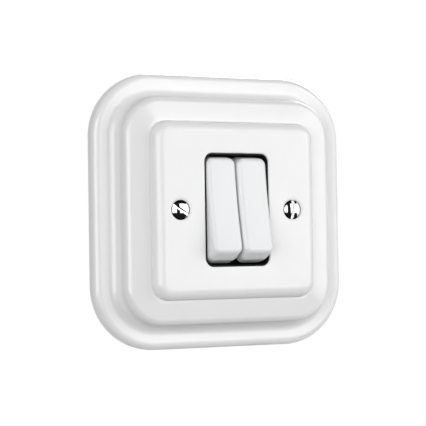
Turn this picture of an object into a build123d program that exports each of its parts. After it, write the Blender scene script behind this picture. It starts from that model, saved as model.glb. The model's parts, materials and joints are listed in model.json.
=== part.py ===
from build123d import *
import os
from math import cos, radians, sin, sqrt, tan

# A two-rocker light switch: a stepped porcelain cover frame with a porcelain centre plate,
# held by two slotted screws to the steel strap of a flush switch insert.
# All sizes are millimetres. X runs right, Z runs up and Y runs into the wall.
# The wall is the plane Y = 0, so "height" always means the distance in front of it, along -Y.

os.makedirs("parts", exist_ok=True)

# Cover frame
frame_width = 105.0
frame_corner = 24.6
lip_height = 5.9
lip_round = 2.9
lip_fall = 0.9
lip_land = 0.2
cove_round = 4.0
step_width = 86.0
step_height = 13.9
step_round = 3.0
seat_height = 15.5
seat_margin = 0.9
aperture_width = 57.0
cavity_width = 76.0
cavity_height = 9.5

# Centre plate
plate_width = 67.2
plate_corner = 6.6
plate_thickness = 4.5
plate_round = 4.2
rib_thickness = 1.5
rib_depth = 3.0
rib_play = 0.5
opening_width = 26.65
opening_height = 42.7
opening_corner = 3.25
opening_softening = 0.5

# Cover screws and the posts that take them
screw_spacing = 46.6
screw_radius = 2.0
screw_length = 12.0
head_radius = 3.72
head_rise = 1.1
head_slot_width = 1.1
head_slot_depth = 1.3
slot_overrun = 1.0
head_slot_turn = {"left": -32.0, "right": 86.0}
sink_radius = 3.95
hole_radius = 2.3
seat_gap = 0.03
thread_gap = 0.02
post_radius = 2.8
post_top_gap = 0.1
post_spigot_radius = 1.7

# Mounting strap
strap_width = 71.0
strap_corner = 8.0
strap_thickness = 1.5
strap_window = (24.0, 12.0)
box_screw_spacing = 60.0
box_slot_width = 4.2
box_slot_length = 7.0

# Rockers and their axle
rocker_width = 12.1
rocker_gap = 0.8
rocker_tilt = 10.0
pivot_height = 12.8
rocker_front = 9.5
rocker_dish = 180.0
rocker_half_length = 17.9
rocker_end_draft = 20.0
rocker_knee = 4.6
rocker_knee_round = 6.0
rocker_skirt_draft = 4.0
rocker_skirt = 0.5
rocker_wall = 1.4
rocker_corner_round = 2.8
rocker_edge_round = 1.8
hub_width = 7.0
hub_radius = 2.6
hub_neck = 4.4
arch_radius = 2.9
axle_radius = 1.25
axle_gap = 0.05
stem_radius = 2.5
stem_length = 12.0

# Spring plungers
plunger_radius = 1.5
plunger_gap = 0.05
plunger_reach = 14.0
plunger_head = 8.8
spigot_radius = 0.7
spigot_length = 1.2
spring_bore_end = 2.8
spring_wire = 0.2
spring_turns = 4
spring_gap = 0.15

# Rocker carrier
collar_fit = 0.15
collar_wall = 0.4
collar_sink = 0.5
carrier_wall = 2.4
carrier_end_room = 1.5
carrier_floor = 2.0
carrier_gap = 0.3
carrier_corner = 1.5
stop_gap = 0.3
stop_length = 8.0
web_thickness = 1.8
web_radius = 2.5
stem_slot = (6.6, 11.0)

# Tilting contacts
contact_tilt = 8.0
contact_sheet = 0.8
contact_width = 8.0
contact_half_length = 10.2
wing_rise = 1.9
ball_gap = 0.15
button_radius = 1.4
button_height = 0.8
button_reach = 8.6
touch_gap = 0.05
ridge_radius = 0.6
ridge_gap = 0.1

# Terminals in the switch base
dome_radius = 1.6
strip_thickness = 1.0
strip_width = 4.0
strip_drop = 1.85
fixed_strip_start = 6.6
common_strip_start = 2.2
clamp_wall = 2.3
clamp_length = 5.6
clamp_width = 5.8
clamp_depth = 7.5
wire_radius = 1.5
wire_bore_depth = 6.0
terminal_screw_radius = 1.5
terminal_screw_depth = 4.0
terminal_screw_reach = 2.1
terminal_head_radius = 2.3
terminal_head_length = 1.6
terminal_slot_width = 0.8
terminal_slot_depth = 0.9

# Switch base
base_width = 44.0
base_depth = 22.0
base_chamfer = 5.0
base_edge = 0.6
chamber_width = 10.0
chamber_length = 22.4
pocket_gap = 0.2
wire_hole_radius = 1.8
wire_funnel = 0.8
funnel_angle = 45.0
driver_hole_radius = 2.7
base_screw_edge = 5.0
base_screw_radius = 1.5
base_screw_hole = 1.65
base_screw_bite = 5.0
base_screw_room = 0.5
base_head_radius = 2.75
base_head_length = 1.8
base_head_recess = 2.2

# Places that several pieces share
face_height = seat_height + plate_thickness
rocker_place = (rocker_gap + rocker_width) / 2
carrier_top = seat_height - carrier_gap
base_half = base_width / 2
base_screw_reach = base_half - base_screw_edge
clamp_end = base_half - clamp_wall
clamp_start = clamp_end - clamp_length
wire_place = clamp_start + clamp_length / 2
carrier_half_width = opening_width / 2 - collar_fit - collar_wall
carrier_half_length = opening_height / 2 - collar_fit - collar_wall + carrier_end_room

# The rocker's front is hollow from end to end; its ends slope out to a knee, then to the skirt.
rocker_end_front = rocker_front + rocker_dish - sqrt(rocker_dish**2 - rocker_half_length**2)
end_depth_to_knee = rocker_end_front - rocker_knee
rocker_knee_half = rocker_half_length + end_depth_to_knee * tan(radians(rocker_end_draft))
skirt_depth = rocker_knee - rocker_skirt
rocker_back_half = rocker_knee_half + skirt_depth * tan(radians(rocker_skirt_draft))


def in_front(height):
    """A plane parallel to the wall with its normal towards the room."""
    return Plane.XZ.offset(height)


def pivoted(x, height, degrees):
    """The plane of a piece turned about an axis along X: x runs up it and y out to the room."""
    turn = radians(degrees)
    return Plane(origin=(x, -height, 0), x_dir=(0, -sin(turn), cos(turn)), z_dir=(1, 0, 0))


def stem_line(side):
    """The plane across a rocker's stem at its axle, with its normal down the stem."""
    rocker = pivoted(side * rocker_place, pivot_height, -rocker_tilt)
    return Plane(origin=rocker.origin, x_dir=(1, 0, 0), z_dir=-rocker.y_dir)


def corner_nearest(shape, point):
    """The vertex of a sketch that lies nearest to a point."""
    return shape.vertices().sort_by_distance(point)[0]


# Where the see-saw contact turns, and the trough in it that the plunger's ball runs along.
# The ball swings on the rocker while the see-saw tilts the other way, and the trough's arc
# passes through the ball's middle and end places as the see-saw meets them.
ball_swing = radians(rocker_tilt)
see_saw_swing = radians(contact_tilt)
ball_to_see_saw = contact_sheet + ball_gap + plunger_radius
see_saw_height = pivot_height - plunger_reach - ball_to_see_saw
end_depth = pivot_height - plunger_reach * cos(ball_swing) - see_saw_height
end_side = plunger_reach * sin(ball_swing)
end_rise = end_depth * cos(see_saw_swing) + end_side * sin(see_saw_swing)
end_reach = end_side * cos(see_saw_swing) - end_depth * sin(see_saw_swing)
ball_sag = end_rise - ball_to_see_saw
ball_path_radius = (end_reach**2 + ball_sag**2) / (2 * ball_sag)
trough_radius = ball_path_radius + plunger_radius + ball_gap
trough_outside = trough_radius + contact_sheet

# The fixed contacts stand where the pressed end of the see-saw comes to rest on them.
button_face = wing_rise - contact_sheet - button_height
dome_offset = dome_radius + touch_gap - button_face
dome_place = button_reach * cos(see_saw_swing) - dome_offset * sin(see_saw_swing)
dome_height = see_saw_height - button_reach * sin(see_saw_swing) - dome_offset * cos(see_saw_swing)
strip_front = see_saw_height - strip_drop
strip_back = strip_front - strip_thickness
clamp_back = strip_front - clamp_depth
terminal_screw_height = strip_front - terminal_screw_depth

# The rocker's pressed end sits just above the stop under it.
stop_height = (
    pivot_height
    + rocker_skirt * cos(ball_swing)
    - rocker_back_half * sin(ball_swing)
    - stop_gap
)

# Cover frame: one section carried round a rounded square, a quarter at a time
frame_half = frame_width / 2
step_half = step_width / 2
seat_half = plate_width / 2 + seat_margin
lip_width = frame_half - step_half
lip_slant = sqrt(lip_width**2 + lip_fall**2)
cove_room = (lip_width - lip_land) / (1 + lip_fall / lip_slant) - lip_round
lip_corner = (frame_half, -lip_height)
cove_corner = (step_half, -(lip_height - lip_fall))
step_corner = (step_half, -step_height)
with BuildPart() as cover_frame:
    with BuildLine(Plane.XZ) as rim:
        Line((frame_half, 0), (frame_half, frame_half - frame_corner))
        CenterArc((frame_half - frame_corner, frame_half - frame_corner), frame_corner, 0, 90)
        Line((frame_half - frame_corner, frame_half), (0, frame_half))
    with BuildSketch(Plane.XY) as section:
        with BuildLine():
            Polyline(
                (frame_half, 0),
                lip_corner,
                cove_corner,
                step_corner,
                (seat_half, -seat_height),
                (aperture_width / 2, -seat_height),
                (aperture_width / 2, -cavity_height),
                (cavity_width / 2, -cavity_height),
                (cavity_width / 2, 0),
                close=True,
            )
        make_face()
        fillet(corner_nearest(section, lip_corner), lip_round)
        fillet(corner_nearest(section, cove_corner), min(cove_round, cove_room))
        fillet(corner_nearest(section, step_corner), step_round)
    sweep(path=rim.wire())
    mirror(about=Plane.XY)
    mirror(about=Plane.YZ)
cover_frame.part.label = "cover_frame"
export_step(cover_frame.part, "parts/cover_frame.step")

# Centre plate: rounded edge, window, rib that locates it in the frame, two countersunk holes
screw_places = [(-screw_spacing / 2, 0), (screw_spacing / 2, 0)]
rib_outside = aperture_width - 2 * rib_play
rib_inside = rib_outside - 2 * rib_thickness
with BuildPart() as centre_plate:
    with BuildSketch(in_front(seat_height)):
        RectangleRounded(plate_width, plate_width, plate_corner)
        RectangleRounded(opening_width, opening_height, opening_corner, mode=Mode.SUBTRACT)
    extrude(amount=plate_thickness)
    face = centre_plate.faces().sort_by(Axis.Y)[0]
    fillet(face.outer_wire().edges(), plate_round)
    face = centre_plate.faces().sort_by(Axis.Y)[0]
    fillet(face.inner_wires()[0].edges(), opening_softening)
    with BuildSketch(in_front(seat_height)):
        Rectangle(rib_outside, rib_outside)
        Rectangle(rib_inside, rib_inside, mode=Mode.SUBTRACT)
        with Locations(*screw_places):
            Circle(post_radius + rib_play, mode=Mode.SUBTRACT)
    extrude(amount=-rib_depth)
    with Locations(in_front(face_height)):
        with Locations(*screw_places):
            CounterSinkHole(hole_radius, sink_radius, depth=plate_thickness)
centre_plate.part.label = "centre_plate"
export_step(centre_plate.part, "parts/centre_plate.step")


def cover_screw(side, slot_turn):
    """A raised countersunk screw with a straight slot, seated in the centre plate."""
    x = side * screw_spacing / 2
    rim_height = face_height - (sink_radius - head_radius) + seat_gap
    neck_height = rim_height - (head_radius - screw_radius)
    top = rim_height + head_rise
    with BuildPart() as screw:
        with BuildSketch(Plane(origin=(x, 0, 0), x_dir=(1, 0, 0), z_dir=(0, 0, 1))):
            with BuildLine():
                Polyline(
                    (0, -top),
                    (0, -(rim_height - screw_length)),
                    (screw_radius, -(rim_height - screw_length)),
                    (screw_radius, -neck_height),
                    (head_radius, -rim_height),
                )
                TangentArc((0, -top), (head_radius, -rim_height), tangent=(1, 0))
            make_face()
        revolve(axis=Axis((x, 0, 0), (0, 1, 0)))
        with BuildSketch(in_front(top)):
            with Locations((x, 0)):
                Rectangle(2 * (head_radius + slot_overrun), head_slot_width, rotation=slot_turn)
        extrude(amount=-head_slot_depth, mode=Mode.SUBTRACT)
    return screw.part


def post(side):
    """A threaded post riveted to the strap, which takes a cover screw."""
    x = side * screw_spacing / 2
    with BuildPart() as pillar:
        with BuildSketch(in_front(strap_thickness)):
            with Locations((x, 0)):
                Circle(post_radius)
        extrude(amount=seat_height - post_top_gap - strap_thickness)
        with BuildSketch(in_front(0)):
            with Locations((x, 0)):
                Circle(post_spigot_radius)
        extrude(amount=strap_thickness)
        with BuildSketch(in_front(0)):
            with Locations((x, 0)):
                Circle(screw_radius + thread_gap)
        extrude(amount=seat_height, mode=Mode.SUBTRACT)
    return pillar.part


# Mounting strap
slot_middles = [(0, -box_screw_spacing / 2), (0, box_screw_spacing / 2)]
base_screw_places = [(0, -base_screw_reach), (0, base_screw_reach)]
with BuildPart() as mounting_strap:
    with BuildSketch(in_front(0)):
        RectangleRounded(strap_width, strap_width, strap_corner)
        Rectangle(*strap_window, mode=Mode.SUBTRACT)
        with Locations(*slot_middles):
            SlotOverall(box_slot_length, box_slot_width, rotation=90, mode=Mode.SUBTRACT)
        with Locations(*base_screw_places):
            Circle(base_screw_hole, mode=Mode.SUBTRACT)
        with Locations(*screw_places):
            Circle(post_spigot_radius + thread_gap, mode=Mode.SUBTRACT)
    extrude(amount=strap_thickness)
mounting_strap.part.label = "mounting_strap"
export_step(mounting_strap.part, "parts/mounting_strap.step")

# Rocker carrier: tray with cheeks and a middle web for the axle, and a collar in the window
floor_height = strap_thickness + carrier_floor
carrier_width = 2 * (carrier_half_width + carrier_wall)
carrier_length = 2 * (carrier_half_length + carrier_wall)
collar_inset = collar_fit + collar_wall
stop_middle = carrier_half_length - stop_length / 2
with BuildPart() as rocker_carrier:
    with BuildSketch(in_front(strap_thickness)):
        RectangleRounded(carrier_width, carrier_length, carrier_corner)
    extrude(amount=carrier_top - strap_thickness)
    with BuildSketch(in_front(floor_height)):
        Rectangle(2 * carrier_half_width, 2 * carrier_half_length)
    extrude(amount=carrier_top - floor_height, mode=Mode.SUBTRACT)
    with BuildSketch(in_front(floor_height)):
        with Locations((0, -stop_middle), (0, stop_middle)):
            Rectangle(2 * carrier_half_width, stop_length)
    extrude(amount=stop_height - floor_height)
    with BuildSketch(in_front(carrier_top - carrier_floor)):
        RectangleRounded(carrier_width, carrier_length, carrier_corner)
        RectangleRounded(
            opening_width - 2 * collar_inset,
            opening_height - 2 * collar_inset,
            opening_corner - collar_inset,
            mode=Mode.SUBTRACT,
        )
    extrude(amount=carrier_floor)
    with BuildSketch(in_front(carrier_top)):
        RectangleRounded(
            opening_width - 2 * collar_fit,
            opening_height - 2 * collar_fit,
            opening_corner - collar_fit,
        )
        RectangleRounded(
            opening_width - 2 * collar_inset,
            opening_height - 2 * collar_inset,
            opening_corner - collar_inset,
            mode=Mode.SUBTRACT,
        )
    extrude(amount=face_height - collar_sink - carrier_top)
    with BuildSketch(pivoted(0, pivot_height, 0)):
        Circle(web_radius)
        with Locations((0, -(pivot_height - strap_thickness) / 2)):
            Rectangle(2 * web_radius, pivot_height - strap_thickness)
    extrude(amount=web_thickness / 2, both=True)
    with BuildSketch(in_front(strap_thickness)):
        with Locations((-rocker_place, 0), (rocker_place, 0)):
            Rectangle(*stem_slot)
    extrude(amount=carrier_floor, mode=Mode.SUBTRACT)
    with BuildSketch(pivoted(0, pivot_height, 0)):
        Circle(axle_radius + thread_gap)
    extrude(amount=carrier_width / 2, both=True, mode=Mode.SUBTRACT)
    with BuildSketch(in_front(strap_thickness)):
        with Locations(*base_screw_places):
            Circle(base_screw_radius + thread_gap)
    extrude(amount=base_screw_bite + base_screw_room, mode=Mode.SUBTRACT)
rocker_carrier.part.label = "rocker_carrier"
export_step(rocker_carrier.part, "parts/rocker_carrier.step")

# Axle that both rockers turn on
with BuildPart() as rocker_axle:
    with BuildSketch(pivoted(0, pivot_height, 0)):
        Circle(axle_radius)
    extrude(amount=carrier_width / 2, both=True)
rocker_axle.part.label = "rocker_axle"
export_step(rocker_axle.part, "parts/rocker_axle.step")


def side_outline(inset):
    """The rocker's side outline with its hollow front, moved in by a wall."""
    front_half = rocker_half_length - inset
    knee_half = rocker_knee_half - inset
    back_half = rocker_back_half - inset
    middle = rocker_front - inset
    end_front = middle + rocker_end_front - rocker_front
    with BuildLine() as outline:
        ThreePointArc((-front_half, end_front), (0, middle), (front_half, end_front))
        Line((front_half, end_front), (knee_half, rocker_knee))
        Line((knee_half, rocker_knee), (back_half, rocker_skirt))
        Line((back_half, rocker_skirt), (-back_half, rocker_skirt))
        Line((-back_half, rocker_skirt), (-knee_half, rocker_knee))
        Line((-knee_half, rocker_knee), (-front_half, end_front))
    make_face(outline.edges())


def rocker(side):
    """A hollow moulded rocker with a hub on the axle and a stem for its plunger."""
    plane = pivoted(side * rocker_place, pivot_height, -rocker_tilt)
    stem = stem_line(side)
    up_rocker = Axis(plane.origin, plane.x_dir)
    out_of_rocker = Axis(plane.origin, plane.y_dir)
    neck_length = rocker_front - rocker_wall / 2
    with BuildPart() as key:
        with BuildSketch(plane) as outline:
            side_outline(0)
            knees = [(-rocker_knee_half, rocker_knee), (rocker_knee_half, rocker_knee)]
            for knee in knees:
                fillet(corner_nearest(outline, knee), rocker_knee_round)
        extrude(amount=rocker_width / 2, both=True)
        ends = key.faces().sort_by(up_rocker)
        corners = (ends[0].edges() + ends[-1].edges()).filter_by(Axis.X, reverse=True)
        fillet(corners, rocker_corner_round)
        front_face = key.faces().sort_by(out_of_rocker)[-1]
        fillet(front_face.edges(), rocker_edge_round)
        with BuildSketch(plane):
            side_outline(rocker_wall)
        extrude(amount=rocker_width / 2 - rocker_wall, both=True, mode=Mode.SUBTRACT)
        with BuildSketch(plane):
            Circle(arch_radius)
        extrude(amount=rocker_width, both=True, mode=Mode.SUBTRACT)
        with BuildSketch(plane):
            Circle(hub_radius)
            with Locations((0, neck_length / 2)):
                Rectangle(hub_neck, neck_length)
        extrude(amount=hub_width / 2, both=True)
        with BuildSketch(stem):
            Circle(stem_radius)
        extrude(amount=stem_length)
        with BuildSketch(plane):
            Circle(axle_radius + axle_gap)
        extrude(amount=rocker_width, both=True, mode=Mode.SUBTRACT)
        with BuildSketch(stem.offset(spring_bore_end)):
            Circle(plunger_radius + plunger_gap)
        extrude(amount=stem_length - spring_bore_end, mode=Mode.SUBTRACT)
    return key.part


def plunger(side):
    """A round-ended plunger that slides in the rocker's stem."""
    stem = stem_line(side)
    with BuildPart() as pin:
        with BuildSketch(stem.offset(plunger_head)):
            Circle(plunger_radius)
        extrude(amount=plunger_reach - plunger_head)
        with BuildSketch(stem.offset(plunger_head)):
            Circle(spigot_radius)
        extrude(amount=-spigot_length)
        with Locations(stem.offset(plunger_reach)):
            Sphere(plunger_radius)
    return pin.part


def spring(side):
    """The spring that presses a plunger out of its stem."""
    stem = stem_line(side)
    start = stem.offset(spring_bore_end + spring_wire + spring_gap)
    height = plunger_head - spring_bore_end - 2 * (spring_wire + spring_gap)
    coil_radius = plunger_radius - spring_gap - spring_wire
    with BuildPart() as coil:
        with BuildLine():
            turns = Helix(height / spring_turns, height, coil_radius, start.origin, start.z_dir)
        with BuildSketch(Plane(origin=turns @ 0, z_dir=turns % 0)):
            Circle(spring_wire)
        sweep(path=turns, is_frenet=True)
    return coil.part


def contact_rocker(side):
    """The see-saw contact: a bent strip with a trough for the ball and a button at each end."""
    plane = pivoted(side * rocker_place, see_saw_height, contact_tilt)
    with BuildPart() as strip:
        with BuildSketch(plane):
            with Locations((0, wing_rise / 2)):
                Rectangle(2 * contact_half_length, wing_rise)
            with Locations((0, trough_outside)):
                Circle(trough_outside, mode=Mode.INTERSECT)
            with Locations((0, wing_rise - contact_sheet / 2)):
                Rectangle(2 * contact_half_length, contact_sheet)
            with Locations((0, trough_outside)):
                Circle(trough_radius, mode=Mode.SUBTRACT)
        extrude(amount=contact_width / 2, both=True)
        back = Plane(origin=plane.origin, x_dir=plane.x_dir, z_dir=plane.y_dir)
        with BuildSketch(back.offset(button_face)):
            with Locations((-button_reach, 0), (button_reach, 0)):
                Circle(button_radius)
        extrude(amount=button_height)
    return strip.part


def terminal_plane(side, place):
    """A plane on the base's front with its x pointing out to the terminal's edge of the base."""
    if place == "common":
        return Plane(origin=(0, 0, 0), x_dir=(side, 0, 0), z_dir=(0, -1, 0))
    up = 1 if place == "upper" else -1
    return Plane(origin=(side * rocker_place, 0, 0), x_dir=(0, 0, up), z_dir=(0, -1, 0))


def screw_line(plane):
    """The plane across a terminal screw at the clamp's outer face, its normal outwards."""
    middle = plane.from_local_coords((clamp_end, 0, terminal_screw_height))
    return Plane(origin=middle, x_dir=(0, 1, 0), z_dir=plane.x_dir)


def bar(plane, start, end, width, back, front, mode=Mode.ADD):
    """A straight bar from start to end along the plane's x, between two heights."""
    with BuildSketch(plane.offset(back)) as outline:
        with Locations(((start + end) / 2, 0)):
            Rectangle(end - start, width)
    extrude(outline.sketch, amount=front - back, mode=mode)


def clamp(plane):
    """The clamp block at a terminal's outer end, with its wire bore and screw hole."""
    bar(plane, clamp_start, clamp_end, clamp_width, clamp_back, strip_front)
    with BuildSketch(plane.offset(clamp_back)) as wire_bore:
        with Locations((wire_place, 0)):
            Circle(wire_radius)
    extrude(wire_bore.sketch, amount=wire_bore_depth, mode=Mode.SUBTRACT)
    with BuildSketch(screw_line(plane)) as screw_bore:
        Circle(terminal_screw_radius + thread_gap)
    extrude(screw_bore.sketch, amount=-(clamp_end - wire_place), mode=Mode.SUBTRACT)


def common_terminal(side):
    """The terminal that carries the see-saw on a rounded ridge."""
    plane = terminal_plane(side, "common")
    ridge_height = see_saw_height - ridge_gap - ridge_radius
    ridge = pivoted(side * rocker_place, ridge_height, 0)
    with BuildPart() as metal:
        bar(plane, common_strip_start, clamp_end, strip_width, strip_back, strip_front)
        clamp(plane)
        with BuildSketch(ridge):
            Circle(ridge_radius)
            with Locations((0, -(ridge_height - strip_front) / 2)):
                Rectangle(2 * ridge_radius, ridge_height - strip_front)
        extrude(amount=contact_width / 2, both=True)
    return metal.part


def fixed_contact(side, place):
    """An end terminal with the domed contact that the see-saw's button meets."""
    plane = terminal_plane(side, place)
    with BuildPart() as metal:
        with Locations(plane.offset(dome_height)):
            with Locations((dome_place, 0)):
                Sphere(dome_radius)
        split(bisect_by=plane.offset(strip_back), keep=Keep.TOP)
        bar(plane, fixed_strip_start, clamp_end, strip_width, strip_back, strip_front)
        clamp(plane)
    return metal.part


def terminal_screw(side, place):
    """A slotted screw that clamps the wire in a terminal."""
    line = screw_line(terminal_plane(side, place))
    with BuildPart() as screw:
        with BuildSketch(line.offset(-terminal_screw_reach)):
            Circle(terminal_screw_radius)
        extrude(amount=terminal_screw_reach)
        with BuildSketch(line):
            Circle(terminal_head_radius)
        extrude(amount=terminal_head_length)
        with BuildSketch(line.offset(terminal_head_length)):
            Rectangle(terminal_slot_width, 2 * (terminal_head_radius + slot_overrun))
        extrude(amount=-terminal_slot_depth, mode=Mode.SUBTRACT)
    return screw.part


def base_screw(up):
    """A long screw from the back of the base through the strap into the carrier."""
    head_front = -(base_depth - base_head_recess)
    with BuildPart() as screw:
        with BuildSketch(in_front(head_front)):
            with Locations((0, up * base_screw_reach)):
                Circle(base_screw_radius)
        extrude(amount=strap_thickness + base_screw_bite - head_front)
        with BuildSketch(in_front(head_front)):
            with Locations((0, up * base_screw_reach)):
                Circle(base_head_radius)
        extrude(amount=-base_head_length)
        with BuildSketch(in_front(head_front - base_head_length)):
            with Locations((0, up * base_screw_reach)):
                Rectangle(2 * (base_head_radius + slot_overrun), terminal_slot_width)
        extrude(amount=terminal_slot_depth, mode=Mode.SUBTRACT)
    return screw.part


# Switch base: a moulded block with a chamber and three terminal pockets for each rocker
all_terminals = [(side, place) for side in (-1, 1) for place in ("upper", "lower", "common")]
with BuildPart() as switch_base:
    with BuildSketch(in_front(0)) as outline:
        Rectangle(base_width, base_width)
        chamfer(outline.vertices(), base_chamfer)
    extrude(amount=-base_depth)
    chamfer(switch_base.faces().sort_by(Axis.Y)[-1].edges(), base_edge)
    with BuildSketch(in_front(0)):
        with Locations((-rocker_place, 0), (rocker_place, 0)):
            Rectangle(chamber_width, chamber_length)
    extrude(amount=strip_back, mode=Mode.SUBTRACT)
    for side, place in all_terminals:
        plane = terminal_plane(side, place)
        line = screw_line(plane)
        channel = strip_width + 2 * pocket_gap
        pocket = clamp_width + 2 * pocket_gap
        pocket_start = clamp_start - pocket_gap
        pocket_end = clamp_end + pocket_gap
        bar(plane, rocker_place, pocket_end, channel, strip_back, 0, Mode.SUBTRACT)
        bar(plane, pocket_start, pocket_end, pocket, clamp_back, 0, Mode.SUBTRACT)
        with BuildSketch(line):
            Circle(driver_hole_radius)
        extrude(amount=base_half - clamp_end, mode=Mode.SUBTRACT)
        with BuildSketch(plane.offset(-base_depth)):
            with Locations((wire_place, 0)):
                Circle(wire_hole_radius)
        extrude(amount=base_depth + clamp_back, mode=Mode.SUBTRACT)
        with BuildSketch(plane.offset(-base_depth)):
            with Locations((wire_place, 0)):
                Circle(wire_hole_radius + wire_funnel)
        extrude(amount=wire_funnel, taper=funnel_angle, mode=Mode.SUBTRACT)
    with BuildSketch(in_front(0)):
        with Locations(*base_screw_places):
            Circle(base_screw_hole)
    extrude(amount=-base_depth, mode=Mode.SUBTRACT)
    with BuildSketch(in_front(-base_depth)):
        with Locations(*base_screw_places):
            Circle(base_head_radius + pocket_gap)
    extrude(amount=base_head_recess, mode=Mode.SUBTRACT)
switch_base.part.label = "switch_base"
export_step(switch_base.part, "parts/switch_base.step")

# The pieces that come in pairs, left and right
for side, hand in ((-1, "left"), (1, "right")):
    pieces = {
        "cover_screw": cover_screw(side, head_slot_turn[hand]),
        "post": post(side),
        "rocker": rocker(side),
        "plunger": plunger(side),
        "spring": spring(side),
        "contact_rocker": contact_rocker(side),
        "common_terminal": common_terminal(side),
        "upper_contact": fixed_contact(side, "upper"),
        "lower_contact": fixed_contact(side, "lower"),
        "common_screw": terminal_screw(side, "common"),
        "upper_screw": terminal_screw(side, "upper"),
        "lower_screw": terminal_screw(side, "lower"),
    }
    for name, piece in pieces.items():
        piece.label = f"{hand}_{name}"
        export_step(piece, f"parts/{hand}_{name}.step")

for up, level in ((1, "upper"), (-1, "lower")):
    piece = base_screw(up)
    piece.label = f"{level}_base_screw"
    export_step(piece, f"parts/{level}_base_screw.step")
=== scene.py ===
import json
from math import asin, cos, radians, sin, tan

import bmesh
import bpy
from mathutils import Matrix, Vector


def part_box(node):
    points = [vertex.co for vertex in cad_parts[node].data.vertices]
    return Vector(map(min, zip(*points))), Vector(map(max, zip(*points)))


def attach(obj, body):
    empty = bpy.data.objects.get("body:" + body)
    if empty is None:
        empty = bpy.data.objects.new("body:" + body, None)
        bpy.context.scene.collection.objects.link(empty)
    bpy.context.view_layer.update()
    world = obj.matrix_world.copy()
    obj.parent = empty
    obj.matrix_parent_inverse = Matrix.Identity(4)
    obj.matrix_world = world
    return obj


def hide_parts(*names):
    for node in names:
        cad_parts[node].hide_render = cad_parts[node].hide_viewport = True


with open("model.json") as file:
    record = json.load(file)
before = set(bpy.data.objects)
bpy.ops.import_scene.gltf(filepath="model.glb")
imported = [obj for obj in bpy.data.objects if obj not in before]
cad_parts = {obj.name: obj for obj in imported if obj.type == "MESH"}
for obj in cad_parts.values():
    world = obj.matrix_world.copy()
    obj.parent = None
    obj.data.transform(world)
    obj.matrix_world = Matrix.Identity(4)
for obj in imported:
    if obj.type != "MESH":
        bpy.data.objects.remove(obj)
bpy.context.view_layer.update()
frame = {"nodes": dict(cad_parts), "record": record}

# A porcelain light switch with two rockers. Every length is in metres, +Z up, front towards -Y.
MM = 0.001

# Camera, placed as the photograph's camera stood
CAMERA_PLACE = (-0.2283, -0.4964, -0.0171)
CAMERA_YAW = radians(24.59)
CAMERA_PITCH = radians(1.74)
CAMERA_ROLL = radians(-0.94)
IMAGE_SIDE = 426
FOCAL_PIXELS = 1401.8
SENSOR = 36.0

# Finishes: noise in waves to the metre, and the values of it that get the two end shades
GLAZE_WAVES = 45.0
GLAZE_CLOUDS = 120.0
MOULDING_CLOUDS = 150.0
MOULDING_GRAIN = 2500.0
MOULDING_GRAIN_DEPTH = 0.003 * MM
METAL_CLOUDS = 300.0
METAL_MARKS = 600.0
METAL_MARK_DEPTH = 0.004 * MM
DARKEST_AT = 0.3
LIGHTEST_AT = 0.7
# Painted shade: the near black that the rims of the cover screw heads run to, for the shade in the gap
# round them
PAINTED_GAP_SHADE = (0.02, 0.02, 0.02)


def make_camera():
    """The camera looks from the left, a little upwards."""
    data = bpy.data.cameras.new("photo_camera")
    data.sensor_width = SENSOR
    data.lens = FOCAL_PIXELS * SENSOR / IMAGE_SIDE
    camera = bpy.data.objects.new("photo_camera", data)
    bpy.context.scene.collection.objects.link(camera)
    forward = Vector((
        sin(CAMERA_YAW) * cos(CAMERA_PITCH),
        cos(CAMERA_YAW) * cos(CAMERA_PITCH),
        sin(CAMERA_PITCH),
    ))
    level = forward.to_track_quat("-Z", "Y").to_matrix().to_4x4()
    camera.matrix_world = (
        Matrix.Translation(CAMERA_PLACE) @ level @ Matrix.Rotation(CAMERA_ROLL, 4, "Z")
    )
    bpy.context.scene.camera = camera


def new_material(name):
    """An empty node material with its output and a Principled shader."""
    material = bpy.data.materials.new(name)
    material.use_nodes = True
    nodes = material.node_tree.nodes
    nodes.clear()
    output = nodes.new("ShaderNodeOutputMaterial")
    shader = nodes.new("ShaderNodeBsdfPrincipled")
    material.node_tree.links.new(shader.outputs["BSDF"], output.inputs["Surface"])
    return material, nodes, material.node_tree.links, shader


def noise(nodes, links, scale, detail, stretch=None):
    """Noise on the object's own coordinates, scale in waves to the metre."""
    place = nodes.new("ShaderNodeTexCoord")
    texture = nodes.new("ShaderNodeTexNoise")
    texture.inputs["Scale"].default_value = scale
    texture.inputs["Detail"].default_value = detail
    if stretch is None:
        links.new(place.outputs["Object"], texture.inputs["Vector"])
    else:
        mapping = nodes.new("ShaderNodeMapping")
        mapping.inputs["Scale"].default_value = stretch
        links.new(place.outputs["Object"], mapping.inputs["Vector"])
        links.new(mapping.outputs["Vector"], texture.inputs["Vector"])
    return texture


def colour_from(nodes, links, texture, shader, dark, light):
    """The noise runs the base colour between two shades."""
    ramp = nodes.new("ShaderNodeValToRGB")
    ramp.color_ramp.elements[0].position = DARKEST_AT
    ramp.color_ramp.elements[0].color = (*dark, 1)
    ramp.color_ramp.elements[1].position = LIGHTEST_AT
    ramp.color_ramp.elements[1].color = (*light, 1)
    links.new(texture.outputs["Fac"], ramp.inputs["Fac"])
    links.new(ramp.outputs["Color"], shader.inputs["Base Color"])


def roughness_from(nodes, links, texture, shader, low, high):
    """The noise runs the roughness between two values."""
    spread = nodes.new("ShaderNodeMapRange")
    spread.inputs["To Min"].default_value = low
    spread.inputs["To Max"].default_value = high
    links.new(texture.outputs["Fac"], spread.inputs["Value"])
    links.new(spread.outputs["Result"], shader.inputs["Roughness"])


def bump_from(nodes, links, texture, shader, depth):
    """The noise lifts the surface by a depth in metres."""
    bump = nodes.new("ShaderNodeBump")
    bump.inputs["Distance"].default_value = depth
    links.new(texture.outputs["Fac"], bump.inputs["Height"])
    links.new(bump.outputs["Normal"], shader.inputs["Normal"])


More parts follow.
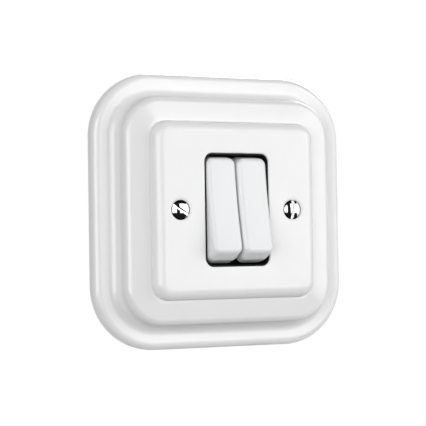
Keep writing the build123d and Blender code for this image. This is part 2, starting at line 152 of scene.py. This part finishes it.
def porcelain(name, dark, light, rough_low, rough_high, wave_depth):
    """White glaze: faint shading, soft waves where it flowed."""
    material, nodes, links, shader = new_material(name)
    flow = noise(nodes, links, GLAZE_WAVES, 2.0)
    shade = noise(nodes, links, GLAZE_CLOUDS, 4.0)
    colour_from(nodes, links, shade, shader, dark, light)
    roughness_from(nodes, links, shade, shader, rough_low, rough_high)
    bump_from(nodes, links, flow, shader, wave_depth)
    return material


def moulding(name, dark, light, rough_low, rough_high, gloss=0.5):
    """Moulded plastic with a fine grain."""
    material, nodes, links, shader = new_material(name)
    shader.inputs["Specular IOR Level"].default_value = gloss
    fine = noise(nodes, links, MOULDING_GRAIN, 2.0)
    broad = noise(nodes, links, MOULDING_CLOUDS, 3.0)
    colour_from(nodes, links, broad, shader, dark, light)
    roughness_from(nodes, links, broad, shader, rough_low, rough_high)
    bump_from(nodes, links, fine, shader, MOULDING_GRAIN_DEPTH)
    return material


def metal(name, dark, light, rough_low, rough_high, stretch):
    """Metal with fine marks along one way and a little unevenness in its colour."""
    material, nodes, links, shader = new_material(name)
    shader.inputs["Metallic"].default_value = 1.0
    marks = noise(nodes, links, METAL_MARKS, 4.0, stretch)
    broad = noise(nodes, links, METAL_CLOUDS, 3.0)
    colour_from(nodes, links, broad, shader, dark, light)
    roughness_from(nodes, links, marks, shader, rough_low, rough_high)
    bump_from(nodes, links, marks, shader, METAL_MARK_DEPTH)
    return material


def paint_gap_shade_on_heads(material, screw_x):
    """Painted shade: the polish ends short of the rim of both heads, whose colour runs to near black
    there, standing in for the shade in the crevice round each head.
    """
    nodes, links = material.node_tree.nodes, material.node_tree.links
    shader = next(node for node in nodes if node.type == "BSDF_PRINCIPLED")
    polish = shader.inputs["Base Color"].links[0].from_socket
    place = nodes.new("ShaderNodeTexCoord")
    split = nodes.new("ShaderNodeSeparateXYZ")
    links.new(place.outputs["Object"], split.inputs["Vector"])
    side = nodes.new("ShaderNodeMath")
    side.operation = "ABSOLUTE"
    links.new(split.outputs["X"], side.inputs[0])
    across = nodes.new("ShaderNodeMath")
    across.operation = "SUBTRACT"
    across.inputs[1].default_value = screw_x
    links.new(side.outputs[0], across.inputs[0])
    flat = nodes.new("ShaderNodeCombineXYZ")
    links.new(across.outputs[0], flat.inputs["X"])
    links.new(split.outputs["Z"], flat.inputs["Z"])
    radius = nodes.new("ShaderNodeVectorMath")
    radius.operation = "LENGTH"
    links.new(flat.outputs["Vector"], radius.inputs[0])
    edge = nodes.new("ShaderNodeMapRange")
    edge.inputs["From Min"].default_value = GAP_SHADE_START
    edge.inputs["From Max"].default_value = GAP_SHADE_FULL
    links.new(radius.outputs["Value"], edge.inputs["Value"])
    mix = nodes.new("ShaderNodeMix")
    mix.data_type = "RGBA"
    mix.inputs["B"].default_value = (*PAINTED_GAP_SHADE, 1)
    links.new(edge.outputs["Result"], mix.inputs["Factor"])
    links.new(polish, mix.inputs["A"])
    links.new(mix.outputs["Result"], shader.inputs["Base Color"])


# Studio: the room's light for all but direct sight, the floor and the cards
ROOM_LEVEL = 0.1
CARD_BLACK = (0.02, 0.02, 0.02)
FLOOR_HALF = 0.6
FLOOR_DROP = 0.9
FLOOR_PALE = (0.9, 0.9, 0.9)
FLOOR_WHITE_SHARE = 0.75

# Sizes of the pieces that are modelled finer than their solids
WELD = 0.001 * MM
SHARP_ANGLE = radians(35)
LIP_HEIGHT = 5.9 * MM
LIP_ROUND = 2.9 * MM
LIP_FALL = 0.9 * MM
COVE_ROUND = 4.0 * MM
FRAME_CORNER = 24.6 * MM
STEP_HALF = 43.0 * MM
STEP_HEIGHT = 13.9 * MM
STEP_ROUND = 3.0 * MM
SEAT_MARGIN = 0.9 * MM
SEAT_ROUND = 0.6 * MM
APERTURE_HALF = 28.5 * MM
CAVITY_HALF = 38.0 * MM
CAVITY_HEIGHT = 9.5 * MM
FOOT_ROUND = 0.5 * MM
PLATE_CORNER = 6.6 * MM
PLATE_ROUND = 4.2 * MM
PLATE_SEAT = 15.5 * MM
FOOT_EASE = 0.25 * MM
RIB_OUTSIDE = 28.0 * MM
RIB_INSIDE = 26.5 * MM
RIB_CORNER = 0.8 * MM
WINDOW_HALF_WIDTH = 13.325 * MM
WINDOW_HALF_HEIGHT = 21.35 * MM
WINDOW_CORNER = 3.25 * MM
WINDOW_ROUND = 0.5 * MM
SINK_RADIUS = 3.95 * MM
SINK_ROUND = 2.0 * MM
SINK_BRIM = 2.0 * MM
BRIM_RISE = 0.02 * MM
HOLE_RADIUS = 2.3 * MM
CUTTER_SPARE = 1.0 * MM
POST_ROOM = 3.3 * MM
POST_ROOM_DEPTH = 2.0 * MM
POST_RELIEF = 0.05 * MM
FINE = 12
TURN = 48

# Screws: sizes from the top of the head, with the thread cut to a core inside the solid's shank
COVER_SCREW = {
    "head_radius": 3.72 * MM, "head_rise": 1.1 * MM, "shank_radius": 2.0 * MM,
    "pitch": 0.7 * MM, "slot_width": 1.1 * MM, "slot_depth": 1.3 * MM, "countersunk": True,
}
BASE_SCREW = {
    "head_radius": 2.75 * MM, "head_rise": 1.8 * MM, "shank_radius": 1.5 * MM,
    "pitch": 0.5 * MM, "slot_width": 0.8 * MM, "slot_depth": 0.9 * MM, "countersunk": False,
}
TERMINAL_SCREW = {
    "head_radius": 2.3 * MM, "head_rise": 1.6 * MM, "shank_radius": 1.5 * MM,
    "pitch": 0.5 * MM, "slot_width": 0.8 * MM, "slot_depth": 0.9 * MM, "countersunk": False,
}
SLOT_TURN = {"left": radians(-32), "right": radians(86)}
HEAD_EDGE = 0.3 * MM
RIM_LAND = 0.12 * MM
# Painted shade on the cover screw heads: where their colour starts to darken, and where it is fully
# dark
GAP_SHADE_START = 3.3 * MM
GAP_SHADE_FULL = 3.45 * MM

# Threads: shares of the pitch, but for how far the ridge is sunk into the core
THREAD_DEPTH = 0.6
THREAD_RUN_OUT = 1.2
THREAD_FOOT = 0.45
THREAD_CREST = 0.08
THREAD_SINK = 0.05 * MM


def wire(bm, points):
    """An open or closed run of straight edges through the points."""
    corners = [bm.verts.new(point) for point in points]
    for start, end in zip(corners, corners[1:]):
        bm.edges.new((start, end))
    return corners


def round_corner(bm, corner, radius, segments=FINE):
    """Rounds one corner of a wire; the cut-back comes from the angle that the wire turns by."""
    before, after = (edge.other_vert(corner).co for edge in corner.link_edges)
    turn = (corner.co - before).angle(after - corner.co)
    bmesh.ops.bevel(
        bm,
        geom=[corner],
        offset=radius * tan(turn / 2),
        offset_type="OFFSET",
        segments=segments,
        profile=0.5,
        affect="VERTICES",
        material=-1,
        clamp_overlap=False,
    )


def rounded_rectangle(bm, half_width, half_height, corner, height):
    """A closed loop of edges, a rounded rectangle at a height in front of the wall."""
    ring = wire(bm, [
        (-half_width, -height, -half_height),
        (half_width, -height, -half_height),
        (half_width, -height, half_height),
        (-half_width, -height, half_height),
    ])
    bm.edges.new((ring[-1], ring[0]))
    before = set(bm.verts) - set(ring)
    for place in ring:
        round_corner(bm, place, corner)
    around = [place for place in bm.verts if place not in before]
    return list({edge for place in around for edge in place.link_edges})


def eased_edge(bm, outline, front, radius, way):
    """Loops that round an outline over into the face at a height, inwards with way -1 or outwards
    with 1; a radius below zero rounds it into a face that looks back at the wall."""
    half_width, half_height, corner = outline
    loops = []
    for step in range(FINE + 1):
        turn = radians(90) * step / FINE
        shift = way * abs(radius) * (1 - cos(turn))
        height = front - radius * (1 - sin(turn))
        loops.append(rounded_rectangle(
            bm, half_width + shift, half_height + shift, corner + shift, height
        ))
    return loops


def link_loops(bm, loops):
    """Faces between each loop and the next."""
    for near, far in zip(loops, loops[1:]):
        bmesh.ops.bridge_loops(bm, edges=near + far)


def fill_between(bm, around, within):
    """The flat face between an outline and the smaller one inside it."""
    bmesh.ops.triangle_fill(
        bm, use_beauty=True, use_dissolve=False, edges=around + within, normal=(0, -1, 0)
    )


def into_piece(bm, name, material):
    """The closed, smooth mesh of a piece, its faces pointing outwards."""
    bmesh.ops.remove_doubles(bm, verts=bm.verts, dist=WELD)
    bmesh.ops.recalc_face_normals(bm, faces=bm.faces)
    for face in bm.faces:
        face.smooth = True
    mesh = bpy.data.meshes.new(name)
    bm.to_mesh(mesh)
    bm.free()
    mesh.set_sharp_from_angle(angle=SHARP_ANGLE)
    if material:
        mesh.materials.append(material)
    piece = bpy.data.objects.new(name, mesh)
    bpy.context.scene.collection.objects.link(piece)
    return piece


def apply_modifiers(piece):
    """The piece's mesh as its modifiers leave it."""
    graph = bpy.context.evaluated_depsgraph_get()
    mesh = bpy.data.meshes.new_from_object(piece.evaluated_get(graph))
    piece.modifiers.clear()
    piece.data = mesh


def cut(piece, cutter):
    """Takes another closed mesh out of the piece; the cutter is then gone."""
    step = piece.modifiers.new("cut", "BOOLEAN")
    step.operation = "DIFFERENCE"
    step.solver = "EXACT"
    step.object = cutter
    apply_modifiers(piece)
    bpy.data.objects.remove(cutter)


def even_shading(piece):
    """Large flat faces keep their own normal up to the start of a round."""
    step = piece.modifiers.new("even_shading", "WEIGHTED_NORMAL")
    step.keep_sharp = True
    step.weight = 100


def stand_for(piece, body, slot, *nodes):
    """The piece rides on the body in place of its solids."""
    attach(piece, body)
    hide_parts(*nodes)


def make_cover_frame(material):
    """The porcelain frame: its section turned through a quarter corner, run straight, mirrored."""
    frame_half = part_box("cover_frame")[1].x
    seat_height = -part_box("cover_frame")[0].y
    seat_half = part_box("centre_plate")[1].x + SEAT_MARGIN
    middle = frame_half - FRAME_CORNER
    section = [
        (frame_half, 0, FOOT_ROUND),
        (frame_half, LIP_HEIGHT, LIP_ROUND),
        (STEP_HALF, LIP_HEIGHT - LIP_FALL, COVE_ROUND),
        (STEP_HALF, STEP_HEIGHT, STEP_ROUND),
        (seat_half, seat_height, SEAT_ROUND),
        (APERTURE_HALF, seat_height, FOOT_ROUND),
        (APERTURE_HALF, CAVITY_HEIGHT, 0),
        (CAVITY_HALF, CAVITY_HEIGHT, SEAT_ROUND),
        (CAVITY_HALF, 0, FOOT_ROUND),
    ]
    bm = bmesh.new()
    corners = wire(bm, [(across, -height, middle) for across, height, _ in section])
    bm.edges.new((corners[-1], corners[0]))
    for place, (_, _, radius) in zip(corners, section):
        if radius:
            round_corner(bm, place, radius)
    start = list(bm.edges)
    quarter = bmesh.ops.spin(
        bm,
        geom=bm.verts[:] + start,
        cent=(middle, 0, middle),
        axis=(0, 1, 0),
        angle=radians(-90),
        steps=TURN,
        use_merge=False,
    )
    end = [item for item in quarter["geom_last"] if isinstance(item, bmesh.types.BMEdge)]
    for edges, way in ((start, (0, 0, -middle)), (end, (-middle, 0, 0))):
        straight = bmesh.ops.extrude_edge_only(bm, edges=edges)["geom"]
        moved = [item for item in straight if isinstance(item, bmesh.types.BMVert)]
        bmesh.ops.translate(bm, vec=way, verts=moved)
    for axis in ("X", "Z"):
        everything = bm.verts[:] + bm.edges[:] + bm.faces[:]
        bmesh.ops.mirror(bm, geom=everything, axis=axis, merge_dist=WELD)
    piece = into_piece(bm, "glazed_cover_frame", material)
    even_shading(piece)
    stand_for(piece, "switch", "frame_porcelain", "cover_frame")


def sink_cutter(x, face_height):
    """The shape of a countersunk hole, with the glaze's soft brim."""
    cone_end = face_height - (SINK_RADIUS - HOLE_RADIUS)
    above = face_height + CUTTER_SPARE
    behind = PLATE_SEAT - CUTTER_SPARE
    brim = x + SINK_RADIUS + SINK_BRIM
    bm = bmesh.new()
    corners = wire(bm, [
        (x, -above, 0),
        (brim, -above, 0),
        (brim, -face_height - BRIM_RISE, 0),
        (x + SINK_RADIUS, -face_height, 0),
        (x + HOLE_RADIUS, -cone_end, 0),
        (x + HOLE_RADIUS, -behind, 0),
        (x, -behind, 0),
    ])
    round_corner(bm, corners[3], SINK_ROUND)
    bmesh.ops.spin(
        bm,
        geom=bm.verts[:] + bm.edges[:],
        cent=(x, 0, 0),
        axis=(0, 1, 0),
        angle=radians(360),
        steps=2 * TURN,
        use_merge=True,
    )
    return into_piece(bm, "sink_cutter", None)


def post_room_cutter(x):
    """The round gap in the rib that lets a post through."""
    bm = bmesh.new()
    bmesh.ops.create_cone(
        bm,
        cap_ends=True,
        segments=TURN,
        radius1=POST_ROOM,
        radius2=POST_ROOM,
        depth=2 * POST_ROOM_DEPTH,
    )
    bmesh.ops.rotate(bm, cent=(0, 0, 0), matrix=Matrix.Rotation(radians(90), 3, "X"), verts=bm.verts)
    middle = PLATE_SEAT + POST_RELIEF - POST_ROOM_DEPTH
    bmesh.ops.translate(bm, vec=(x, -middle, 0), verts=bm.verts)
    return into_piece(bm, "post_room_cutter", None)


def make_centre_plate(material):
    """The porcelain plate: loops of its outline joined front to back, then the screw holes."""
    low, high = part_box("centre_plate")
    plate_half = high.x
    face_height = -low.y
    rib_height = -high.y
    bm = bmesh.new()
    outline = (plate_half, plate_half, PLATE_CORNER)
    foot = eased_edge(bm, outline, PLATE_SEAT, -FOOT_EASE, -1)
    rim = eased_edge(bm, outline, face_height, PLATE_ROUND, -1)
    rib = [
        rounded_rectangle(bm, RIB_OUTSIDE, RIB_OUTSIDE, RIB_CORNER, PLATE_SEAT),
        rounded_rectangle(bm, RIB_OUTSIDE, RIB_OUTSIDE, RIB_CORNER, rib_height),
        rounded_rectangle(bm, RIB_INSIDE, RIB_INSIDE, RIB_CORNER, rib_height),
        rounded_rectangle(bm, RIB_INSIDE, RIB_INSIDE, RIB_CORNER, PLATE_SEAT),
    ]
    window = (WINDOW_HALF_WIDTH, WINDOW_HALF_HEIGHT, WINDOW_CORNER)
    window_back = rounded_rectangle(bm, *window, PLATE_SEAT)
    brim = eased_edge(bm, window, face_height, WINDOW_ROUND, 1)
    link_loops(bm, [*reversed(foot), *rim])
    link_loops(bm, rib)
    link_loops(bm, [window_back, *brim])
    fill_between(bm, rim[-1], brim[-1])
    fill_between(bm, foot[-1], rib[0])
    fill_between(bm, rib[-1], window_back)
    piece = into_piece(bm, "glazed_centre_plate", material)
    for screw in ("left_cover_screw", "right_cover_screw"):
        low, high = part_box(screw)
        x = (low.x + high.x) / 2
        cut(piece, post_room_cutter(x))
        cut(piece, sink_cutter(x, face_height))
    even_shading(piece)
    stand_for(piece, "switch", "plate_porcelain", "centre_plate")


def head_dome(bm, sizes):
    """The section of a raised head, an arc from the middle to the rim."""
    radius, rise = sizes["head_radius"], sizes["head_rise"]
    sphere = (radius**2 + rise**2) / (2 * rise)
    top = bm.verts.new((0, 0, 0))
    arc = bmesh.ops.spin(
        bm, geom=[top], cent=(0, 0, -sphere), axis=(0, 1, 0), angle=asin(radius / sphere), steps=FINE
    )
    return [item for item in arc["geom_last"] if isinstance(item, bmesh.types.BMVert)][0]


def screw_body(sizes, length):
    """Head and core of a screw, turned about Z with the top of its head at the origin."""
    head, rise = sizes["head_radius"], sizes["head_rise"]
    shank = sizes["shank_radius"]
    core = shank - THREAD_DEPTH * sizes["pitch"]
    bm = bmesh.new()
    if sizes["countersunk"]:
        rim = head_dome(bm, sizes)
        neck = rise + head - shank
        below = [(head, -rise - RIM_LAND), (shank, -neck), (core, -neck - sizes["pitch"])]
    else:
        neck = rise
        rim = bm.verts.new((0, 0, 0))
        below = [(head, 0), (head, -rise), (core, -rise)]
    section = wire(bm, [(radius, 0, height) for radius, height in below + [
        (core, -length + core / 2), (core / 2, -length), (0, -length)
    ]])
    bm.edges.new((rim, section[0]))
    if not sizes["countersunk"]:
        round_corner(bm, section[0], HEAD_EDGE, 4)
    bmesh.ops.spin(
        bm,
        geom=bm.verts[:] + bm.edges[:],
        cent=(0, 0, 0),
        axis=(0, 0, 1),
        angle=radians(360),
        steps=TURN,
        use_merge=True,
    )
    return bm, core, neck


def cut_thread(bm, sizes, core, neck, length):
    """A helical ridge round the core, a closed strip of its own."""
    pitch = sizes["pitch"]
    turns = int((length - neck - 2 * pitch) / pitch)
    start = -neck - THREAD_RUN_OUT * pitch
    foot = THREAD_FOOT * pitch
    crest = THREAD_CREST * pitch
    ring = wire(bm, [
        (core - THREAD_SINK, 0, start + foot),
        (sizes["shank_radius"], 0, start + crest),
        (sizes["shank_radius"], 0, start - crest),
        (core - THREAD_SINK, 0, start - foot),
    ])
    bm.edges.new((ring[-1], ring[0]))
    edges = list({edge for place in ring for edge in place.link_edges})
    steps = turns * TURN // 2
    swept = bmesh.ops.spin(
        bm,
        geom=ring + edges,
        cent=(0, 0, 0),
        axis=(0, 0, 1),
        dvec=(0, 0, -pitch / (TURN // 2)),
        angle=radians(360) * turns,
        steps=steps,
        use_merge=False,
    )
    last = [item for item in swept["geom_last"] if isinstance(item, bmesh.types.BMEdge)]
    bmesh.ops.edgeloop_fill(bm, edges=edges)
    bmesh.ops.edgeloop_fill(bm, edges=last)


def slot_cutter(sizes):
    """A bar across the head, for the driver's slot."""
    reach = 3 * sizes["head_radius"]
    depth = 2 * sizes["slot_depth"]
    bm = bmesh.new()
    bmesh.ops.create_cube(bm, size=1)
    bmesh.ops.scale(bm, vec=(reach, sizes["slot_width"], depth), verts=bm.verts)
    return bm


def make_screw(node, body, slot, material, sizes, outwards, slot_way):
    """A slotted screw in place of its solid; outwards is the way that its head faces."""
    low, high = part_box(node)
    outwards = Vector(outwards)
    across = Vector(slot_way)
    half = (high - low) / 2
    length = 2 * abs(half.dot(outwards))
    top = (low + high) / 2 + outwards * length / 2
    along = outwards.cross(across)
    turned = Matrix((across, along, outwards)).transposed().to_4x4()
    place = Matrix.Translation(top) @ turned
    bm, core, neck = screw_body(sizes, length)
    blank = into_piece(bm, "screw_blank", None)
    cut(blank, into_piece(slot_cutter(sizes), "slot_cutter", None))
    bm = bmesh.new()
    bm.from_mesh(blank.data)
    bpy.data.objects.remove(blank)
    cut_thread(bm, sizes, core, neck, length)
    bm.transform(place)
    piece = into_piece(bm, "threaded_" + node, material)
    even_shading(piece)
    stand_for(piece, body, slot, node)


def make_screws(polished, zinced):
    """The two cover screws, the six terminal screws and the two long base screws."""
    for hand, side in (("left", -1), ("right", 1)):
        turn = SLOT_TURN[hand]
        way = (cos(turn), 0, sin(turn))
        make_screw(
            hand + "_cover_screw", "switch", "nickel_screw", polished, COVER_SCREW, (0, -1, 0), way
        )
        for place, outwards, across in (
            ("common", (side, 0, 0), (0, 0, 1)),
            ("upper", (0, 0, 1), (1, 0, 0)),
            ("lower", (0, 0, -1), (1, 0, 0)),
        ):
            node = f"{hand}_{place}_screw"
            make_screw(node, "switch", "zinced_steel", zinced, TERMINAL_SCREW, outwards, across)
    for level in ("upper", "lower"):
        node = level + "_base_screw"
        make_screw(node, "switch", "zinced_steel", zinced, BASE_SCREW, (0, 1, 0), (1, 0, 0))


def dress_cad_nodes(finishes):
    """Each node that stays takes the finish of its slot in the record."""
    slots = {row["node"]: row["material_slot"] for row in frame["record"]["subparts"]}
    for name, node in frame["nodes"].items():
        node.data.materials.clear()
        node.data.materials.append(finishes[slots[name]])


def area_lamp(name, place, side, power):
    """A soft square lamp turned towards the switch, itself out of the picture."""
    data = bpy.data.lights.new(name, "AREA")
    data.size = side
    data.energy = power
    lamp = bpy.data.objects.new(name, data)
    lamp.visible_camera = False
    bpy.context.scene.collection.objects.link(lamp)
    turn = (-Vector(place)).to_track_quat("-Z", "Y").to_matrix().to_4x4()
    lamp.matrix_world = Matrix.Translation(place) @ turn


def seen_directly(nodes, links):
    """1 for the rays of the camera, of reflections and of glass, 0 for those that carry light."""
    path = nodes.new("ShaderNodeLightPath")
    seen = path.outputs["Is Camera Ray"]
    for kind in ("Is Glossy Ray", "Is Transmission Ray"):
        either = nodes.new("ShaderNodeMath")
        either.operation = "MAXIMUM"
        links.new(seen, either.inputs[0])
        links.new(path.outputs[kind], either.inputs[1])
        seen = either.outputs[0]
    return seen


def make_world():
    """A dim even room that lights the switch; the camera, mirrors and glass see it white."""
    world = bpy.data.worlds.new("studio")
    bpy.context.scene.world = world
    world.use_nodes = True
    nodes = world.node_tree.nodes
    links = world.node_tree.links
    nodes.clear()
    output = nodes.new("ShaderNodeOutputWorld")
    room = nodes.new("ShaderNodeBackground")
    room.inputs["Color"].default_value = (1, 1, 1, 1)
    room.inputs["Strength"].default_value = ROOM_LEVEL
    white = nodes.new("ShaderNodeBackground")
    white.inputs["Color"].default_value = (1, 1, 1, 1)
    white.inputs["Strength"].default_value = 1.0
    mix = nodes.new("ShaderNodeMixShader")
    links.new(seen_directly(nodes, links), mix.inputs["Fac"])
    links.new(room.outputs[0], mix.inputs[1])
    links.new(white.outputs[0], mix.inputs[2])
    links.new(mix.outputs[0], output.inputs["Surface"])


def make_black_card(name, place, size, aim):
    """A dark card outside the picture, for the polished screws to mirror."""
    bm = bmesh.new()
    bmesh.ops.create_grid(bm, x_segments=1, y_segments=1, size=0.5)
    bmesh.ops.scale(bm, vec=(*size, 1), verts=bm.verts)
    turn = (Vector(aim) - Vector(place)).to_track_quat("Z", "Y").to_matrix().to_4x4()
    bm.transform(Matrix.Translation(place) @ turn)
    mesh = bpy.data.meshes.new(name)
    bm.to_mesh(mesh)
    bm.free()
    card = bpy.data.objects.new(name, mesh)
    bpy.context.scene.collection.objects.link(card)
    material, _, _, shader = new_material(name)
    shader.inputs["Base Color"].default_value = (*CARD_BLACK, 1)
    shader.inputs["Roughness"].default_value = 0.9
    shader.inputs["Specular IOR Level"].default_value = 0.0
    mesh.materials.append(material)
    card.visible_camera = False
    card.visible_shadow = False


def make_floor():
    """A plain pale floor well below the switch, not all white to the eye: it keeps a shadow."""
    bm = bmesh.new()
    bmesh.ops.create_grid(bm, x_segments=1, y_segments=1, size=FLOOR_HALF)
    bmesh.ops.translate(bm, vec=(0, 0, -FLOOR_DROP), verts=bm.verts)
    mesh = bpy.data.meshes.new("floor")
    bm.to_mesh(mesh)
    bm.free()
    floor = bpy.data.objects.new("floor", mesh)
    bpy.context.scene.collection.objects.link(floor)
    material, nodes, links, shader = new_material("pale_floor")
    shader.inputs["Base Color"].default_value = (*FLOOR_PALE, 1)
    shader.inputs["Roughness"].default_value = 0.7
    pale = nodes.new("ShaderNodeEmission")
    share = nodes.new("ShaderNodeMath")
    share.operation = "MULTIPLY"
    share.inputs[1].default_value = FLOOR_WHITE_SHARE
    links.new(seen_directly(nodes, links), share.inputs[0])
    mix = nodes.new("ShaderNodeMixShader")
    links.new(share.outputs[0], mix.inputs["Fac"])
    links.new(shader.outputs["BSDF"], mix.inputs[1])
    links.new(pale.outputs[0], mix.inputs[2])
    links.new(mix.outputs[0], nodes["Material Output"].inputs["Surface"])
    mesh.materials.append(material)


make_camera()

finishes = {
    "frame_porcelain": porcelain(
        "frame_glaze", (0.86, 0.86, 0.86), (0.875, 0.875, 0.875), 0.1, 0.16, 0.06 * MM
    ),
    "plate_porcelain": porcelain(
        "plate_glaze", (0.87, 0.87, 0.87), (0.885, 0.885, 0.885), 0.2, 0.28, 0.03 * MM
    ),
    "white_moulding": moulding(
        "rocker_white", (0.836, 0.846, 0.851), (0.844, 0.854, 0.859), 0.27, 0.285
    ),
    "black_moulding": moulding(
        "housing_black", (0.003, 0.003, 0.003), (0.006, 0.006, 0.006), 0.5, 0.65, gloss=0.15
    ),
    "base_moulding": moulding("base_grey_white", (0.5, 0.49, 0.45), (0.58, 0.57, 0.53), 0.5, 0.62),
    "plunger_moulding": moulding("plunger_natural", (0.62, 0.58, 0.48), (0.7, 0.66, 0.56), 0.3, 0.4),
    "nickel_screw": metal("screw_nickel", (0.7, 0.69, 0.68), (0.78, 0.77, 0.76), 0.04, 0.09, (1, 1, 1)),
    "zinced_steel": metal("zinc_plate", (0.5, 0.51, 0.52), (0.62, 0.63, 0.65), 0.28, 0.42, (1, 1, 8)),
    "plain_steel": metal("drawn_steel", (0.42, 0.42, 0.42), (0.52, 0.52, 0.51), 0.22, 0.34, (1, 8, 1)),
    "brass": metal("stamped_brass", (0.68, 0.5, 0.22), (0.78, 0.6, 0.3), 0.22, 0.35, (8, 1, 1)),
}

low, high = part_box("right_cover_screw")
# Painted shade in the crevice round both cover screw heads
paint_gap_shade_on_heads(finishes["nickel_screw"], (low.x + high.x) / 2)

dress_cad_nodes(finishes)
make_cover_frame(finishes["frame_porcelain"])
make_centre_plate(finishes["plate_porcelain"])
make_screws(finishes["nickel_screw"], finishes["zinced_steel"])

make_world()
area_lamp("upper_right", (0.8, -1.1, 0.5), 1.5, 10.0)
area_lamp("front_left", (-1.2, -1.1, 0.1), 1.2, 17.0)
area_lamp("front", (0.1, -1.7, 0.2), 1.4, 5.6)
area_lamp("front_right", (1.25, -1.05, 0.1), 1.2, 8.6)
area_lamp("behind", (0.9, 1.2, 0.9), 0.8, 20.0)
make_black_card("card_below", (0.0, -0.55, -0.62), (2.6, 1.0), (0, -0.1, 0))
make_black_card("card_above", (0.1, -0.45, 0.7), (1.7, 0.6), (0, -0.1, 0))
make_black_card("card_ahead", (0.0, -1.05, 0.0), (0.4, 1.7), (0, 0, 0))
make_floor()

bpy.context.scene.view_settings.view_transform = "Standard"
